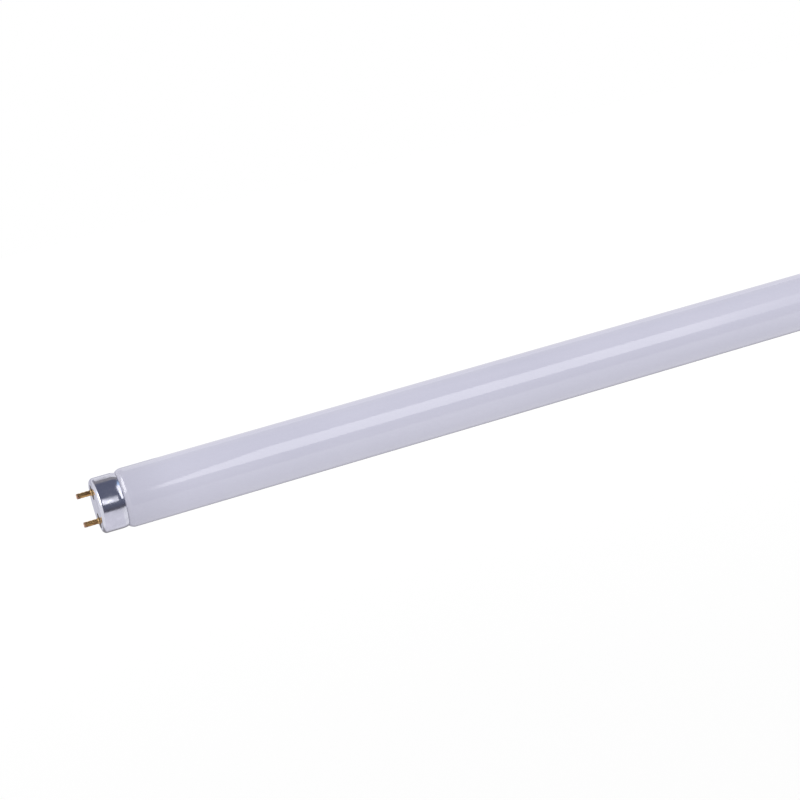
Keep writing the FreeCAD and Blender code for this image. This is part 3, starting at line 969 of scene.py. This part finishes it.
# %% Walls behind and cards below
PALE = (0.88, 0.87, 0.91)
WALL_CORNER = -0.2
WALL_FOOT = 195
TABLE_LEFT = -0.8
TABLE_REACH = 0.6
CAP_EDGE_STOPS = -0.345
EDGE_SHADE = -138
EDGE_HIGH = -122
back_bm = bend_card(start=-1.6, stop=WALL_CORNER, low=160, high=WALL_FOOT)
hang_card("back_wall", back_bm, place_along, one_colour(WALL))
far_bm = bend_card(start=WALL_CORNER, stop=0.8, low=140, high=WALL_FOOT)
hang_card("far_wall", far_bm, place_along, one_colour(PALE))
table_bm = bend_card(start=TABLE_LEFT, stop=-0.29, low=-130, high=-24, reach=TABLE_REACH)
hang_card("low_card", table_bm, place_along, one_colour(PALE))
for name, start, stop, low in (
    ("low_edge", TABLE_LEFT, CAP_EDGE_STOPS, -165),
    ("tube_edge", CAP_EDGE_STOPS, 1.0, -172),
):
    edge_bm = bend_card(start, stop, low, EDGE_HIGH, TABLE_REACH - CARD_GAP)
    hang_card(name, edge_bm, angle_round, ((low, GREY), (EDGE_SHADE, GREY), (EDGE_HIGH, PALE)))

# %% [markdown]
# The screen on the right gives the slanted gleam on the cap's lip, which turns blue towards the sky. It
# is a veil for the caps. Both of its near corners are cut off on the slant, which points the gleam at
# both ends.


# %% Helper that cuts a card on the slant
def cut_slanted(bm, low, high, reach):
    """Cuts the near end of a card off along the line from a low to a high place.

    Each place is given along the lamp and in degrees round it.
    """
    foot = on_drum(*low, reach)
    head = on_drum(*high, reach)
    outwards = on_drum(0, (low[1] + high[1]) / 2, 1)
    bmesh.ops.bisect_plane(
        bm, geom=bm.verts[:] + bm.edges[:] + bm.faces[:], plane_co=foot,
        plane_no=(head - foot).cross(outwards), clear_inner=True,
    )
    print("a slanted card keeps", len(bm.faces), "faces")


# %% Screen on the right
RIGHT_GLOW = (1.7, 1.7, 1.7)
SKY_HIGH = (0.10, 0.17, 0.25)
RIGHT_LOW = 14
RIGHT_HIGH = 130
right_bm = bend_card(start=-0.2, stop=0.56, low=RIGHT_LOW, high=RIGHT_HIGH, reach=NEAR_REACH)
cut_slanted(right_bm, (0.30, RIGHT_LOW), (0.06, 50), NEAR_REACH)
cut_slanted(right_bm, (0.10, 76), (0.40, 116), NEAR_REACH)
hang_card(
    "right_screen", right_bm, angle_round,
    ((RIGHT_LOW, RIGHT_GLOW), (72, RIGHT_GLOW), (80, SKY), (112, SKY_HIGH), (RIGHT_HIGH, SKY_HIGH)),
    only_for=caps,
)

# %% [markdown]
# The streak along the glass is the strip light, a veil for the tube. Its near end is cut on the slant,
# so that the streak starts as a thin line near the cap and widens upwards, as it does in the photograph.
# Its far end fades out, because glass that is seen at a low angle would otherwise show it as a hard
# white edge.

# %% Strip light
STRIP_GLOW = (2.9, 2.9, 2.9)
STRIP_LEFT = -0.23
STRIP_RIGHT = 0.75
STRIP_HIGH = 48
STRIP_REACH = CARD_ROUND - 2 * CARD_GAP
strip_bm = bend_card(start=STRIP_LEFT, stop=STRIP_RIGHT, low=12, high=STRIP_HIGH, reach=STRIP_REACH)
cut_slanted(strip_bm, (-0.218, 22), (-0.079, STRIP_HIGH), STRIP_REACH)
hang_card(
    "strip_light", strip_bm, place_along,
    ((STRIP_LEFT, BLACK), (-0.205, STRIP_GLOW), (0.45, STRIP_GLOW), (STRIP_RIGHT, BLACK)), only_for=[glass],
)

# %% [markdown]
# The cards throw no light, so one large, weak lamp above the camera gives the tube its soft shading from
# top to bottom. It is hidden from the camera and from reflections, because the cards are all that the
# gloss should show.

# %% Soft key light
KEY_PLACE = Vector((-0.35, -1.35, 1.05))
KEY_AIM = Vector((-0.3, 0, 0))
KEY_WIDTH = 1.6
KEY_POWER = 6.0
key_data = bpy.data.lights.new("soft_key", "AREA")
key_data.size = KEY_WIDTH
key_data.energy = KEY_POWER
key = bpy.data.objects.new("soft_key", key_data)
bpy.context.scene.collection.objects.link(key)
key.location = KEY_PLACE
key.rotation_mode = "QUATERNION"
key.rotation_quaternion = (KEY_AIM - KEY_PLACE).to_track_quat("-Z", "Y")
key.visible_glossy = False
key.visible_camera = False
print("key light", KEY_POWER, "W")
